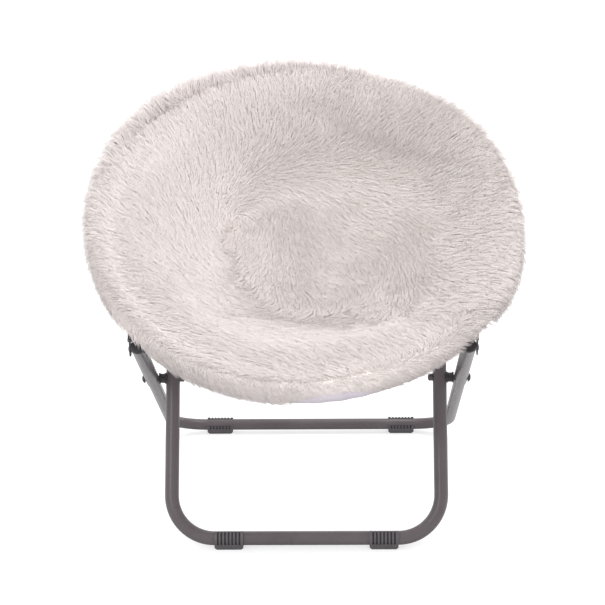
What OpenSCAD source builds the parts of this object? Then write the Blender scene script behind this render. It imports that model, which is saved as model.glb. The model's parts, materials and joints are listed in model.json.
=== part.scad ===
// Folding saucer chair: two crossed leg frames carry a hinged ring that holds a padded fur seat.
// The pins of the ring's two hinges lie under its tube, so the tube's ends butt when the ring is open
// and the halves fold down round the legs as these close.
// X runs left to right, Y from front to back and Z up. The origin lies on the floor under the middle.

/* [Seat ring] */
// Radius of the centre line of the ring's tube
ring_radius = 360; // [340:1:380]
// Outside diameter of the ring's tube
ring_tube_d = 22; // [19:0.5:25]
// Wall of the ring's tube
ring_wall = 1.2; // [1:0.1:2]
// Tilt of the ring, front edge down, in degrees
seat_tilt = 31.5; // [28:0.5:35]
// Height of the ring's centre above the floor
seat_height = 563; // [540:1:590]
// Distance of the ring's centre ahead of the leg pivot
seat_forward = 31; // [15:1:45]

/* [Leg frames] */
// Distance of the front frame's legs inside the ring's centre line, on each side
front_frame_inset = 120; // [110:1:135]
// Outside diameter of the leg tubes
leg_tube_d = 25; // [22:0.5:27]
// Wall of the leg tubes
leg_wall = 1.4; // [1:0.1:2]
// Height of the leg pivot above the floor
pivot_height = 268; // [250:1:285]
// Centre line radius of the front floor bar's bends
front_bend_r = 77; // [60:1:90]
// Centre line radius of the rear floor bar's bends
rear_bend_r = 70; // [60:1:90]
// Length of the rear leg's upper tube below the pivot bolt
socket_below = 25; // [18:1:40]
// Length of the rear leg's lower tube above the pivot bolt
tenon_above = 45; // [30:1:80]
// Radial gap between the telescoped tubes
telescope_gap = 0.1; // [0.05:0.05:0.3]
// Length of a leg tube beyond its top rivet
leg_end_margin = 14; // [12:1:18]

/* [Leg pivot] */
// Diameter of the pivot bolt
bolt_d = 8; // [6:0.5:10]
// Length of the spacer between the two frames
spacer_len = 13; // [12:0.5:20]
// Diameter of the spacer at its waist
spacer_d = 17; // [15:0.5:20]
// Widening of the spacer at its ends, on the radius
spacer_flare = 1.6; // [0.5:0.1:2.5]
// Depth of the spacer's saddle round the front leg
saddle_depth = 2.2; // [1:0.1:3]
// Radial clearance of a pin in the hole that turns on it
running_fit = 0.05; // [0.02:0.01:0.08]
// Side gap between parts that turn past each other
side_gap = 0.3; // [0.2:0.05:0.5]
// Thickness of the pivot washer
washer_t = 1.2; // [0.8:0.1:2]
// Diameter of the pivot washer
washer_d = 18; // [15:0.5:22]
// Height of the pivot bolt's head
bolt_head_h = 4; // [3:0.5:6]
// Diameter of the pivot bolt's head
bolt_head_d = 15; // [12:0.5:18]
// Length of the cap nut
cap_nut_h = 9; // [8:0.5:12]
// Width across the cap nut's corners
cap_nut_d = 14; // [12:0.5:18]

/* [Leg brackets] */
// Thickness of the brackets' sheet
bracket_t = 2; // [1.5:0.1:3]
// Distance of a bracket's rivet below the ring's centre line
bracket_drop = 50; // [46:1:58]
// Width of a bracket's ears, front to back
ear_w = 26; // [22:1:30]
// Gap between a leg tube and a bracket's ear
ear_gap = 0.5; // [0.3:0.1:1]
// Diameter of the bracket rivets
rivet_d = 6; // [5:0.5:8]
// Diameter of a rivet's head
rivet_head_d = 12; // [10:0.5:14]
// Height of a rivet's head
rivet_head_h = 2.6; // [2:0.1:4]

/* [Ring hinge] */
// Depth of the hinge pin below the ring's centre line
hinge_drop = 17; // [16.8:0.1:20]
// Radius of the hinge's eyes
eye_r = 5.5; // [4.5:0.1:5.7]
// Thickness of each hinge eye on the rear half of the ring
fork_t = 4; // [3:0.5:5]
// Thickness of the hinge eye on the front half of the ring
tongue_t = 8; // [6:0.5:10]
// Diameter of the hinge pin
hinge_pin_d = 5; // [4:0.5:6]
// Thickness of the end flange of each half of the ring
flange_t = 5.8; // [5.6:0.1:8]
// Length of the plug inside the ring's tube
plug_len = 20; // [14:1:24]

/* [Floor glides] */
// Length of a floor glide along the bar
glide_len = 51; // [40:1:60]
// Wall of a floor glide under its ribs
glide_wall = 1.2; // [1:0.1:2.5]
// Height of a floor glide's ribs
rib_h = 1.8; // [1:0.1:2.5]
// Number of ribs on a floor glide
rib_count = 8; // [5:1:10]
// Depth of a floor glide below the bar
foot_depth = 6; // [5:0.5:9]
// Width of a floor glide's flat foot
foot_w = 17; // [12:0.5:20]
// Bevel of a floor glide's lower ends
glide_bevel = 4; // [2:0.5:5]
// Opening angle of a floor glide's slot, in degrees
slot_angle = 96; // [60:1:120]
// Direction of the slot above the horizontal, in degrees
slot_lift = 52; // [30:1:60]

/* [Leg caps] */
// Height of the cap on a leg's top end
cap_h = 4.5; // [3:0.5:7]
// Depth of the cap's plug inside the leg
cap_plug = 7; // [5:0.5:8]

/* [Seat] */
// Depth of the seat's fur side at its middle, below the ring
seat_depth = 90; // [80:1:120]
// Power of the bowl's curve
bowl_power = 2; // [1.8:0.1:2.6]
// Gap between the fabric and the ring's tube
tunnel_gap = 1.6; // [1.4:0.1:2.5]
// Thickness of the fur cover
cover_t = 7.5; // [6:0.5:9]
// Thickness of the padding
padding_t = 13; // [9:0.5:15]
// Thickness of the lining
lining_t = 2.2; // [1.5:0.1:3]
// Gap between the layers of the seat
layer_gap = 0.3; // [0.2:0.05:0.5]
// Height of the seat's gathers
gather_h = 2.2; // [0:0.1:3]
// Number of gathers in each half of the seat
gather_count = 7; // [4:1:7]
// Half width of the opening in the seat's rim at a leg bracket, in degrees of the ring
bracket_window = 5.5; // [5:0.1:7]
// Half width of the opening in the seat's rim at a ring hinge, in degrees of the ring
hinge_window = 2; // [1.8:0.1:4]
// Width over which an opening in the seat's rim closes, in degrees of the ring
window_fade = 2.5; // [2:0.1:4]

/* [Hidden] */
$fn = 48;
overrun = 1;

// Tube sizes
leg_r = leg_tube_d / 2;
ring_r = ring_tube_d / 2;
lower_tube_d = leg_tube_d - 2 * leg_wall - 2 * telescope_gap;
lower_r = lower_tube_d / 2;
front_half_w = ring_radius - front_frame_inset;
rear_half_w = front_half_w + leg_r + spacer_len + leg_r;

// Side view of the linkage, as [y, z] with the leg pivot at y = 0
function turned(v, a) = [v[0] * cos(a) - v[1] * sin(a), v[0] * sin(a) + v[1] * cos(a)];
function leg_angle(top) = atan2(top[1] - pivot_height, top[0]);
function on_line(top, z) = top[0] * (z - pivot_height) / (top[1] - pivot_height);
pivot = [0, pivot_height];
ring_centre = [-seat_forward, seat_height];
front_chord = sqrt(pow(ring_radius, 2) - pow(rear_half_w, 2));
rear_chord = sqrt(pow(ring_radius, 2) - pow(front_half_w, 2));
rear_leg_top = ring_centre + turned([-front_chord, -bracket_drop], seat_tilt);
front_leg_top = ring_centre + turned([rear_chord, -bracket_drop], seat_tilt);
front_bar_z = leg_r + foot_depth;
rear_bar_z = lower_r + foot_depth;
front_foot = [on_line(front_leg_top, front_bar_z), front_bar_z];
rear_foot = [on_line(rear_leg_top, rear_bar_z), rear_bar_z];
front_angle = leg_angle(front_leg_top);
rear_angle = leg_angle(rear_leg_top);
front_leg_len = norm(front_leg_top - front_foot);
front_pivot_len = norm(pivot - front_foot);
rear_leg_len = norm(rear_leg_top - rear_foot);
rear_pivot_len = norm(pivot - rear_foot);

// Shapes of the heads and nuts, as shares of their sizes
bolt_dome_share = 0.8;
nut_hex_share = 0.75;
nut_neck_share = 0.8;
nut_shoulder_share = 0.82;
nut_crown_share = 0.94;
nut_tip_share = 0.7;
rivet_dome_share = 0.76;
pin_head_share = 1.6;

// Floor glide sizes
glide_rib_share = 0.5;
glide_side_share = 0.94;
glide_pitch = glide_len / rib_count;
front_glide_x = front_half_w - front_bend_r - glide_len / 2;
rear_glide_x = rear_half_w - rear_bend_r - glide_len / 2;

// Seat profile, as [distance from the ring's axis, height above the ring's plane]
bowl_r = ring_radius - ring_r - tunnel_gap - cover_t;
wrap_end = 150;
cover_wrap_steps = 6;
layer_shares = [0.93, 0.82, 0.66, 0.42];
bowl_shares = concat([0.98], layer_shares);
lining_wrap_from = 232;
lining_wrap_to = 290;
lining_wrap_steps = 2;
hem_angle = -64;
bracket_hem_angle = 12;
hinge_hem_angle = -18;
widest_step = 7.2;
fade_steps = 2;
least_reach_share = 0.05;
gather_start_share = 0.45;
front_bracket_at = asin(front_chord / ring_radius);
rear_bracket_at = asin(rear_chord / ring_radius);

// Share of a window's opening, 1 inside the window and 0 well away from it
function fade(d, half, soft) = min(1, max(0, (half + soft - d) / soft));
function end_distance(a) = min(a, 180 - a);
function bracket_opening(a, at) = fade(abs(end_distance(a) - at), bracket_window, window_fade);
function hinge_opening(a) = fade(end_distance(a), hinge_window, window_fade);

// Directions of the seat's sections, closer together at the openings
function stepped(from, to, steps) = [for (i = [0:steps - 1]) from + (to - from) * i / steps];
function steps_over(span) = max(1, ceil(span / widest_step));
function quarter_angles(at) = let (
        hinge_end = hinge_window + window_fade,
        near = at - bracket_window,
        near_end = near - window_fade,
        far = at + bracket_window,
        far_end = far + window_fade
    )
    concat(
        [0],
        stepped(hinge_window, hinge_end, fade_steps),
        stepped(hinge_end, near_end, steps_over(near_end - hinge_end)),
        stepped(near_end, near, fade_steps),
        [near, at],
        stepped(far, far_end, fade_steps),
        stepped(far_end, 90, steps_over(90 - far_end))
    );
function half_angles(at) = let (q = quarter_angles(at))
    concat(q, [90], [for (i = [1:len(q)]) 180 - q[len(q) - i]]);
function bowl_drop(r) = -seat_depth * (1 - pow(r / bowl_r, bowl_power));
function bowl_slope(r) = atan(seat_depth * bowl_power / bowl_r * pow(r / bowl_r, bowl_power - 1));
function gather(r, a) = let (s = r / bowl_r)
    s < gather_start_share ? 0
    : gather_h * sin(180 * (s - gather_start_share) / (1 - gather_start_share))
        * sin(360 * gather_count * a / 180);
// Point of the bowl at radius r, t under the fur side
function bowl_point(r, a, t) = let (q = bowl_slope(r))
    [r + t * sin(q), bowl_drop(r) - t * cos(q) + gather(r, a)];
function tube_point(r, q) = [ring_radius + r * cos(q), r * sin(q)];

// Angle where the cover's hem lies on the tube, raised at the brackets and the hinges
function hem_at(a, at) = hem_angle
    + bracket_opening(a, at) * (bracket_hem_angle - hem_angle)
    + hinge_opening(a) * (hinge_hem_angle - hem_angle);
function cover_path(a, at, t) = let (from = hem_at(a, at), r = ring_r + tunnel_gap + cover_t - t)
    concat(
        [for (i = [0:cover_wrap_steps]) tube_point(r, from + (wrap_end - from) * i / cover_wrap_steps)],
        [for (s = bowl_shares) bowl_point(s * bowl_r, a, t)]
    );
function padding_path(a, t) = [for (s = layer_shares) bowl_point(s * bowl_r, a, t)];
padding_top = cover_t + layer_gap;
padding_bottom = padding_top + padding_t;
lining_top = padding_bottom + layer_gap;
lining_bottom = lining_top + lining_t;
function lining_reach(a, at) =
    max(least_reach_share, 1 - max(bracket_opening(a, at), hinge_opening(a)));
function lining_path(a, at, t) = let (
        edge = bowl_point(layer_shares[0] * bowl_r, a, t),
        reach = lining_reach(a, at),
        r = ring_r + tunnel_gap + lining_bottom - t
    )
    concat(
        [for (i = [0:lining_wrap_steps])
            let (q = lining_wrap_to - (lining_wrap_to - lining_wrap_from) * i / lining_wrap_steps)
            edge + (tube_point(r, q) - edge) * reach * (1 - least_reach_share * i)],
        [for (s = layer_shares) bowl_point(s * bowl_r, a, t)]
    );

// Points and faces of half a bowl between an upper and a lower path, with a pole on each side
function half_points(angles, upper, lower, top, bottom) = concat(
    [for (i = [0:len(angles) - 1]) let (a = angles[i])
        each concat(
            [for (p = upper[i]) [p[0] * cos(a), p[0] * sin(a), p[1]]],
            [for (p = lower[i]) [p[0] * cos(a), p[0] * sin(a), p[1]]]
        )],
    [[0, 0, top], [0, 0, bottom]]
);
function quad(a, b, c, d) = [[a, b, c], [a, c, d]];
function half_faces(n, steps) = let (m = 2 * n, last = steps * m, up = last + m, low = up + 1)
    concat(
        [for (i = [0:steps - 1], k = [0:n - 2], f = quad(
            i * m + k, i * m + k + 1, (i + 1) * m + k + 1, (i + 1) * m + k)) f],
        [for (i = [0:steps - 1], k = [0:n - 2], f = quad(
            i * m + n + k, (i + 1) * m + n + k, (i + 1) * m + n + k + 1, i * m + n + k + 1)) f],
        [for (i = [0:steps - 1], f = quad(i * m, (i + 1) * m, (i + 1) * m + n, i * m + n)) f],
        [for (i = [0:steps - 1]) [i * m + n - 1, up, (i + 1) * m + n - 1]],
        [for (i = [0:steps - 1]) [i * m + m - 1, (i + 1) * m + m - 1, low]],
        [for (k = [0:n - 2], f = quad(k, n + k, n + k + 1, k + 1)) f],
        quad(n - 1, m - 1, low, up),
        [for (k = [0:n - 2], f = quad(
            last + k, last + k + 1, last + n + k + 1, last + n + k)) f],
        quad(last + n - 1, up, low, last + m - 1)
    );
function cover_paths(at, t) = [for (a = half_angles(at)) cover_path(a, at, t)];
function padding_paths(at, t) = [for (a = half_angles(at)) padding_path(a, t)];
function lining_paths(at, t) = [for (a = half_angles(at)) lining_path(a, at, t)];
function cover_points(at) = half_points(half_angles(at), cover_paths(at, 0), cover_paths(at, cover_t),
    bowl_drop(0), bowl_drop(0) - cover_t);

// The front half's foremost point and the rear glides set the origin midway between them
front_reach = max([for (p = cover_points(front_bracket_at))
    (p[1] + layer_gap / 2) * cos(seat_tilt) + p[2] * sin(seat_tilt)]);
rear_reach = rear_foot[0] + lower_r + glide_wall + rib_h;
origin_y = (rear_reach - seat_forward - front_reach) / 2;

module both_sides() {
    children();
    mirror([1, 0, 0]) children();
}

// Places children drawn in the ring's own frame: Y towards the rear rim and Z out of the seat
module on_ring() {
    translate([0, ring_centre[0] - origin_y, ring_centre[1]]) rotate([seat_tilt, 0, 0]) children();
}

// Places children drawn along a leg: Y runs from the floor bar to the leg's top
module on_leg(foot, angle) {
    translate([0, foot[0] - origin_y, foot[1]]) rotate([angle, 0, 0]) children();
}

module cross_pin(d, x0, x1) {
    translate([x0, 0, 0]) rotate([0, 90, 0]) cylinder(d = d, h = x1 - x0);
}

// A bent tube: floor bar along X, two bends and two legs along Y, as a solid rod of diameter d
module bent_rod(half_w, bend, leg_len, d) {
    cross_pin(d, bend - half_w, half_w - bend);
    both_sides() {
        translate([half_w - bend, bend, 0]) rotate([0, 0, -90])
            rotate_extrude(angle = 90) translate([bend, 0]) circle(d = d);
        translate([half_w, bend, 0]) rotate([-90, 0, 0]) cylinder(d = d, h = leg_len - bend);
    }
}

module bent_bore(half_w, bend, leg_len, d) {
    bent_rod(half_w, bend, leg_len + overrun, d);
}

module front_leg_frame() {
    color("#6f696c") on_leg(front_foot, front_angle) difference() {
        bent_rod(front_half_w, front_bend_r, front_leg_len + leg_end_margin, leg_tube_d);
        bent_bore(front_half_w, front_bend_r, front_leg_len + leg_end_margin, leg_tube_d - 2 * leg_wall);
        both_sides() {
            translate([0, front_pivot_len, 0])
                cross_pin(bolt_d, front_half_w - leg_tube_d, front_half_w + leg_tube_d);
            translate([0, front_leg_len, 0])
                cross_pin(rivet_d + 2 * running_fit, front_half_w - leg_tube_d, front_half_w + leg_tube_d);
        }
    }
}

module rear_leg_lower() {
    color("#6f696c") on_leg(rear_foot, rear_angle) difference() {
        bent_rod(rear_half_w, rear_bend_r, rear_pivot_len + tenon_above, lower_tube_d);
        bent_bore(rear_half_w, rear_bend_r, rear_pivot_len + tenon_above, lower_tube_d - 2 * leg_wall);
        both_sides() translate([0, rear_pivot_len, 0])
            cross_pin(bolt_d + 2 * running_fit, rear_half_w - leg_tube_d, rear_half_w + leg_tube_d);
    }
}

// Upper tube of the rear leg at +X, slipped over the lower tube and held by the pivot bolt
module upper_tube() {
    start = rear_pivot_len - socket_below;
    len = rear_leg_len + leg_end_margin - start;
    difference() {
        translate([rear_half_w, start, 0]) rotate([-90, 0, 0]) difference() {
            cylinder(d = leg_tube_d, h = len);
            translate([0, 0, -overrun]) cylinder(d = leg_tube_d - 2 * leg_wall, h = len + 2 * overrun);
        }
        translate([0, rear_pivot_len, 0])
            cross_pin(bolt_d + 2 * running_fit, rear_half_w - leg_tube_d, rear_half_w + leg_tube_d);
        translate([0, rear_leg_len, 0])
            cross_pin(rivet_d + 2 * running_fit, rear_half_w - leg_tube_d, rear_half_w + leg_tube_d);
    }
}

module rear_leg_upper_right() {
    color("#746e71") on_leg(rear_foot, rear_angle) upper_tube();
}

module rear_leg_upper_left() {
    color("#746e71") on_leg(rear_foot, rear_angle) mirror([1, 0, 0]) upper_tube();
}

// Domed cap with a plug, standing on a leg's end at +X
module leg_cap(x, y) {
    plug_r = leg_r - leg_wall;
    translate([x, y, 0]) rotate([-90, 0, 0]) rotate_extrude() polygon([
        [0, -cap_plug], [plug_r, -cap_plug], [plug_r, 0], [leg_r, 0], [leg_r, cap_h / 3],
        [leg_r - cap_h / 6, 2 * cap_h / 3], [leg_r - cap_h / 2, cap_h], [0, cap_h]
    ]);
}

module front_leg_caps() {
    color("#262527") on_leg(front_foot, front_angle)
        both_sides() leg_cap(front_half_w, front_leg_len + leg_end_margin);
}

module rear_leg_caps() {
    color("#262527") on_leg(rear_foot, rear_angle)
        both_sides() leg_cap(rear_half_w, rear_leg_len + leg_end_margin);
}

// Places children at the leg pivot, along X
module at_pivot() {
    translate([0, -origin_y, pivot_height]) both_sides() children();
}

pivot_outer = rear_half_w + leg_r + washer_t;
pivot_inner = front_half_w - leg_r;

module pivot_bolts() {
    head_r = bolt_head_d / 2;
    color("#4a474a") at_pivot() {
        cross_pin(bolt_d, pivot_inner - cap_nut_h / 2, pivot_outer + overrun);
        translate([pivot_outer, 0, 0]) rotate([0, 90, 0]) rotate_extrude() polygon([
            [0, 0], [head_r, 0], [head_r, bolt_head_h / 4], [head_r * bolt_dome_share, 3 * bolt_head_h / 4],
            [head_r / 2, bolt_head_h], [0, bolt_head_h]
        ]);
    }
}

module pivot_washers() {
    color("#8d898b") at_pivot() difference() {
        cross_pin(washer_d, pivot_outer - washer_t, pivot_outer);
        cross_pin(bolt_d, pivot_outer - washer_t - overrun, pivot_outer + overrun);
    }
}

module pivot_spacers() {
    waist = spacer_d / 2;
    flare = waist + spacer_flare;
    gap_start = front_half_w + leg_r;
    gap_end = gap_start + spacer_len - side_gap;
    quarter = spacer_len / 4;
    color("#1f1e20") at_pivot() difference() {
        rotate([0, 90, 0]) rotate_extrude() polygon([
            [bolt_d / 2, gap_start - saddle_depth], [flare, gap_start - saddle_depth],
            [flare, gap_start + quarter / 2], [waist, gap_start + quarter],
            [waist, gap_end - quarter], [flare, gap_end - quarter / 2], [flare, gap_end],
            [bolt_d / 2, gap_end]
        ]);
        rotate([front_angle, 0, 0]) translate([front_half_w, -spacer_d, 0]) rotate([-90, 0, 0])
            cylinder(r = leg_r, h = 2 * spacer_d);
    }
}

module pivot_cap_nuts() {
    dome_r = cap_nut_d / 2 * nut_neck_share;
    nut_start = pivot_inner - cap_nut_h / 2;
    color("#2d2b2d") at_pivot() difference() {
        union() {
            translate([nut_start - cap_nut_h / 4, 0, 0]) rotate([0, 90, 0])
                cylinder(d = cap_nut_d, h = cap_nut_h * nut_hex_share, $fn = 6);
            translate([pivot_inner, 0, 0]) rotate([0, -90, 0]) rotate_extrude() polygon([
                [0, cap_nut_h / 2], [dome_r, cap_nut_h / 2], [dome_r, cap_nut_h * nut_shoulder_share],
                [dome_r * nut_tip_share, cap_nut_h * nut_crown_share], [0, cap_nut_h]
            ]);
        }
        cross_pin(bolt_d, nut_start, pivot_inner + overrun);
    }
}

// Clip-on floor glide round a bar of radius bar_r, its slot facing forward when side is -1
module floor_glide(bar_r, side) {
    inner_r = bar_r;
    base_r = bar_r + glide_wall;
    rib_r = base_r + rib_h;
    floor_y = -bar_r - foot_depth;
    groove_w = glide_pitch * (1 - glide_rib_share);
    slot = slot_angle / 2;
    aim = side > 0 ? slot_lift : 180 - slot_lift;
    rotate([90, 0, 90]) difference() {
        linear_extrude(height = glide_len, center = true) difference() {
            union() {
                circle(r = rib_r);
                polygon([
                    [-rib_r * glide_side_share, -bar_r / 3], [-foot_w / 2, floor_y], [foot_w / 2, floor_y],
                    [rib_r * glide_side_share, -bar_r / 3]
                ]);
            }
            circle(r = inner_r);
            polygon([[0, 0], for (q = [-slot, 0, slot]) 3 * rib_r * [cos(aim + q), sin(aim + q)]]);
        }
        for (i = [0:rib_count - 2])
            translate([0, 0, (i + 1) * glide_pitch - glide_len / 2 - groove_w / 2])
                linear_extrude(height = groove_w) difference() {
                    translate([0, 2 * rib_r - bar_r / 2]) square(4 * rib_r, center = true);
                    circle(r = base_r);
                }
        for (end = [-1, 1])
            translate([0, floor_y, end * glide_len / 2])
                rotate([45, 0, 0])
                    cube([4 * rib_r, sqrt(2) * glide_bevel, sqrt(2) * glide_bevel], center = true);
    }
}

module front_glide_at(x) {
    translate([x, front_foot[0] - origin_y, front_foot[1]]) floor_glide(leg_r, 1);
}

module rear_glide_at(x) {
    translate([x, rear_foot[0] - origin_y, rear_foot[1]]) floor_glide(lower_r, -1);
}

module front_glide_left() {
    color("#3c393c") front_glide_at(-front_glide_x);
}

module front_glide_right() {
    color("#3c393c") front_glide_at(front_glide_x);
}

module rear_glide_left() {
    color("#3c393c") rear_glide_at(-rear_glide_x);
}

module rear_glide_right() {
    color("#3c393c") rear_glide_at(rear_glide_x);
}

// Half of the ring's tube, from one hinge flange to the other, on the +Y side
hoop_start = side_gap / 2 + flange_t;

module half_hoop() {
    reach = ring_radius + 2 * ring_r;
    difference() {
        rotate_extrude(angle = 180, $fn = 96) translate([ring_radius, 0]) difference() {
            circle(r = ring_r, $fn = 32);
            circle(r = ring_r - ring_wall, $fn = 32);
        }
        translate([-reach, -reach, -2 * ring_r]) cube([2 * reach, reach + hoop_start, 4 * ring_r]);
    }
}

module front_hoop() {
    color("#716b6e") on_ring() mirror([0, 1, 0]) half_hoop();
}

module rear_hoop() {
    color("#716b6e") on_ring() half_hoop();
}

// Bracket round a leg's end at +X and +Y, its ears shaped up to the ring's tube
ear_inner = leg_r + ear_gap;
ear_outer = ear_inner + bracket_t;

module bracket_ear(half_w, chord, x0) {
    tube_y = sqrt(pow(ring_radius, 2) - pow(half_w + x0 + bracket_t / 2, 2));
    half_ear = ear_w / 2;
    top_z = -ring_r / 2;
    translate([half_w + x0, 0, 0]) rotate([90, 0, 90]) linear_extrude(height = bracket_t) union() {
        translate([chord, -bracket_drop]) circle(r = half_ear);
        polygon([
            [chord - half_ear, -bracket_drop], [chord + half_ear, -bracket_drop],
            [tube_y + half_ear, top_z], [tube_y - half_ear, top_z]
        ]);
    }
}

module leg_bracket(half_w, chord) {
    web_z = -ring_r + bracket_t / 2;
    difference() {
        union() {
            bracket_ear(half_w, chord, ear_inner);
            bracket_ear(half_w, chord, -ear_outer);
            translate([half_w - ear_outer, chord - ear_w / 2, web_z - 2 * bracket_t])
                cube([2 * ear_outer, ear_w, 2 * bracket_t]);
        }
        rotate_extrude($fn = 96) translate([ring_radius, 0]) circle(r = ring_r, $fn = 32);
        translate([0, chord, -bracket_drop])
            cross_pin(rivet_d, half_w - 2 * ear_outer, half_w + 2 * ear_outer);
    }
}

module front_bracket_right() {
    color("#676164") on_ring() mirror([0, 1, 0]) leg_bracket(rear_half_w, front_chord);
}

module front_bracket_left() {
    color("#676164") on_ring() mirror([1, 0, 0]) mirror([0, 1, 0]) leg_bracket(rear_half_w, front_chord);
}

module rear_bracket_right() {
    color("#676164") on_ring() leg_bracket(front_half_w, rear_chord);
}

module rear_bracket_left() {
    color("#676164") on_ring() mirror([1, 0, 0]) leg_bracket(front_half_w, rear_chord);
}

// Low domed rivet head whose flat face is at the origin, facing +X
module rivet_head(d, h) {
    rotate([0, 90, 0]) rotate_extrude() polygon([
        [0, 0], [d / 2, 0], [d / 2, h / 4], [d / 2 * rivet_dome_share, 3 * h / 4], [d / 4, h], [0, h]
    ]);
}

module front_bracket_rivets() {
    color("#555154") on_ring() both_sides() translate([rear_half_w, -front_chord, -bracket_drop]) {
        cross_pin(rivet_d, -ear_outer - overrun, ear_outer + overrun);
        translate([ear_outer, 0, 0]) rivet_head(rivet_head_d, rivet_head_h);
        translate([-ear_outer, 0, 0]) mirror([1, 0, 0]) rivet_head(rivet_head_d, rivet_head_h);
    }
}

// The rear rivets are short ones, one through each ear
module rear_bracket_rivets() {
    color("#555154") on_ring() both_sides() translate([front_half_w, rear_chord, -bracket_drop])
        both_sides() {
            cross_pin(rivet_d, ear_inner, ear_outer + overrun);
            translate([ear_outer, 0, 0]) rivet_head(rivet_head_d, rivet_head_h);
        }
}

// Flange and plug in a hoop's end at +X, on the +Y side
module hoop_end() {
    plug_r = ring_r - 2 * ring_wall;
    translate([ring_radius, side_gap / 2, 0]) rotate([-90, 0, 0]) {
        cylinder(r = ring_r, h = flange_t);
        cylinder(r = plug_r, h = flange_t + plug_len);
    }
}

// Hinge eye with its neck, from x0 to x0 + t under the ring's tube at +X
module hinge_eye(x0, t) {
    neck_w = min(flange_t, eye_r);
    translate([ring_radius + x0, 0, 0]) rotate([90, 0, 90]) linear_extrude(height = t) union() {
        translate([0, -hinge_drop]) circle(r = eye_r);
        polygon([
            [side_gap / 2, -ring_r / 2], [neck_w, -ring_r / 2],
            [neck_w, -hinge_drop], [side_gap / 2, -hinge_drop]
        ]);
    }
}

fork_inner = tongue_t / 2 + side_gap;
fork_outer = fork_inner + fork_t;

module rear_hinge_ends() {
    color("#5d595c") on_ring() both_sides() difference() {
        union() {
            hoop_end();
            hinge_eye(fork_inner, fork_t);
            hinge_eye(-fork_outer, fork_t);
        }
        translate([ring_radius, 0, -hinge_drop]) cross_pin(hinge_pin_d, -2 * fork_outer, 2 * fork_outer);
    }
}

module front_hinge_ends() {
    color("#5d595c") on_ring() both_sides() mirror([0, 1, 0]) difference() {
        union() {
            hoop_end();
            hinge_eye(-tongue_t / 2, tongue_t);
        }
        translate([ring_radius, 0, -hinge_drop])
            cross_pin(hinge_pin_d + 2 * running_fit, -tongue_t, tongue_t);
    }
}

module hinge_pins() {
    head_d = pin_head_share * hinge_pin_d;
    head_h = hinge_pin_d / 3;
    color("#8d898b") on_ring() both_sides() translate([ring_radius, 0, -hinge_drop]) {
        cross_pin(hinge_pin_d, -fork_outer - head_h / 4, fork_outer + head_h / 4);
        both_sides() translate([fork_outer, 0, 0]) rivet_head(head_d, head_h);
    }
}

// One layer of the seat's rear half, clear of the front half by the layer gap
module half_layer(points, count, steps) {
    translate([0, layer_gap / 2, 0])
        polyhedron(points = points, faces = half_faces(count, steps), convexity = 6);
}

module half_cover(at) {
    half_layer(cover_points(at), cover_wrap_steps + 1 + len(bowl_shares), len(half_angles(at)) - 1);
}

module half_padding(at) {
    half_layer(
        half_points(half_angles(at), padding_paths(at, padding_top), padding_paths(at, padding_bottom),
            bowl_drop(0) - padding_top, bowl_drop(0) - padding_bottom),
        len(layer_shares),
        len(half_angles(at)) - 1
    );
}

module half_lining(at) {
    half_layer(
        half_points(half_angles(at), lining_paths(at, lining_top), lining_paths(at, lining_bottom),
            bowl_drop(0) - lining_top, bowl_drop(0) - lining_bottom),
        lining_wrap_steps + 1 + len(layer_shares),
        len(half_angles(at)) - 1
    );
}

module front_fur_cover() {
    color("#e2d9d6") on_ring() rotate([0, 0, 180]) half_cover(front_bracket_at);
}

module rear_fur_cover() {
    color("#e2d9d6") on_ring() half_cover(rear_bracket_at);
}

module front_seat_padding() {
    color("#efece6") on_ring() rotate([0, 0, 180]) half_padding(front_bracket_at);
}

module rear_seat_padding() {
    color("#efece6") on_ring() half_padding(rear_bracket_at);
}

module front_seat_lining() {
    color("#c9c3d2") on_ring() rotate([0, 0, 180]) half_lining(front_bracket_at);
}

module rear_seat_lining() {
    color("#c9c3d2") on_ring() half_lining(rear_bracket_at);
}

front_leg_frame();
front_glide_left();
front_glide_right();
front_leg_caps();
pivot_bolts();
pivot_washers();
pivot_spacers();
pivot_cap_nuts();
rear_leg_lower();
rear_leg_upper_left();
rear_leg_upper_right();
rear_glide_left();
rear_glide_right();
rear_leg_caps();
front_hoop();
front_bracket_left();
front_bracket_right();
front_bracket_rivets();
front_hinge_ends();
front_fur_cover();
front_seat_padding();
front_seat_lining();
rear_hoop();
rear_bracket_left();
rear_bracket_right();
rear_bracket_rivets();
rear_hinge_ends();
hinge_pins();
rear_fur_cover();
rear_seat_padding();
rear_seat_lining();
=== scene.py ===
"""Looks of the folding saucer chair: painted tube frame, ribbed glides, long-pile seat, lining."""

import json
import math

import bmesh
import bpy
import numpy as np
from mathutils import Matrix, Vector


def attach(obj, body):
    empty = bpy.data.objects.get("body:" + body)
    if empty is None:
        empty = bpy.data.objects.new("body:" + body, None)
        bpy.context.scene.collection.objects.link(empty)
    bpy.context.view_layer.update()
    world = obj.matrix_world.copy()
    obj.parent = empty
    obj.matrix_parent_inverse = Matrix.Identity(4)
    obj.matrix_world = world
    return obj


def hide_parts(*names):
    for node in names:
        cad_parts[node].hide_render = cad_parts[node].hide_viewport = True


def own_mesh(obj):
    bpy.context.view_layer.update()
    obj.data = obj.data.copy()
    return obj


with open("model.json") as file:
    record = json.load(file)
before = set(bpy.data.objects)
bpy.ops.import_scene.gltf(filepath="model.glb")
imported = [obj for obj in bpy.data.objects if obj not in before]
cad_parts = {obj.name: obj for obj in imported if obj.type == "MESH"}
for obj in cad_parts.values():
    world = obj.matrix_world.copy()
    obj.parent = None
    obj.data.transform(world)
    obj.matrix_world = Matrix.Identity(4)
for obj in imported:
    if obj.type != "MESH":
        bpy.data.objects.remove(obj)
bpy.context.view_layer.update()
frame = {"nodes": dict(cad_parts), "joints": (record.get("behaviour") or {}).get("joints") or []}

# ---------------------------------------------------------------- sizes, in metres and degrees
TILT = math.radians(31.5)
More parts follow.
